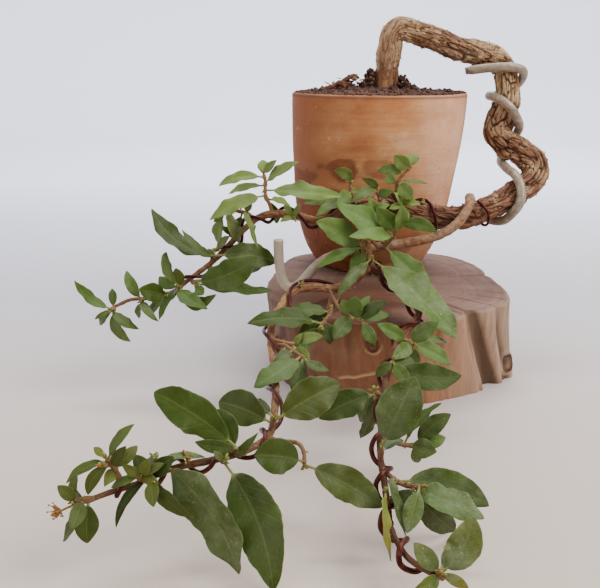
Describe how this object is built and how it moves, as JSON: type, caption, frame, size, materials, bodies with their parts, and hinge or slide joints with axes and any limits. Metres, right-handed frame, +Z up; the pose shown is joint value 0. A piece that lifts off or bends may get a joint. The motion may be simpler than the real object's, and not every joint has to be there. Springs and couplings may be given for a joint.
{
  "type": "barbados cherry bonsai",
  "caption": "Cascading Barbados cherry bonsai in a terracotta pot on a log slice, its looping trunk and leafy branches held by training wires.",
  "frame": {"origin": "the pot's axis where it meets the table plane, under the log slice", "axes": "+Z up, -Y towards the front, where the branches fall, and +X to the right, where the trunk loops out over the rim"},
  "size_m": [0.2977, 0.3791, 0.2229],
  "materials": {
    "log_wood": "weathered, sawn top, debarked sides",
    "terracotta": "unglazed, matt, damp stains",
    "soil": "crumbly, damp",
    "bark": "corky, fissured",
    "grey_wire": "weathered satin",
    "brown_wire": "dark brown anodised, glossy",
    "leaf": "semi-gloss, slightly dusty"
  },
  "bodies": {
    "root": {"log_slice": "log_wood", "pot": "terracotta", "soil": "soil", "trunk": "bark", "heavy_wire": "grey_wire", "tie_wire": "brown_wire", "upper_wire": "brown_wire", "front_wire": "brown_wire", "lower_wire": "brown_wire", "crown_front_spray": "leaf", "crown_left_shoot": "leaf", "crown_low_spray": "leaf", "crown_middle_shoot": "leaf", "crown_right_shoot": "leaf", "fork_spray": "leaf", "front_broad_leaf": "leaf", "front_drooping_spray": "leaf", "front_hanging_pair": "leaf", "front_pair_left": "leaf", "front_pair_upper": "leaf", "front_side_shoot": "leaf", "front_tip": "leaf", "front_whorl": "leaf", "lower_broad_pair": "leaf", "lower_elbow_pair": "leaf", "lower_hanging_left": "leaf", "lower_hanging_right": "leaf", "lower_near_tip": "leaf", "lower_olive_spray": "leaf", "lower_side_shoot": "leaf", "lower_tip": "leaf", "lower_twig_left": "leaf", "lower_twig_right": "leaf", "lower_upright_shoot": "leaf", "upper_cluster": "leaf", "upper_hanging_pair": "leaf", "upper_pair_broad": "leaf", "upper_pair_long": "leaf", "upper_pair_near_tip": "leaf", "upper_side_shoot": "leaf", "upper_tall_shoot": "leaf", "upper_tip": "leaf"}
  },
  "joints": []
}
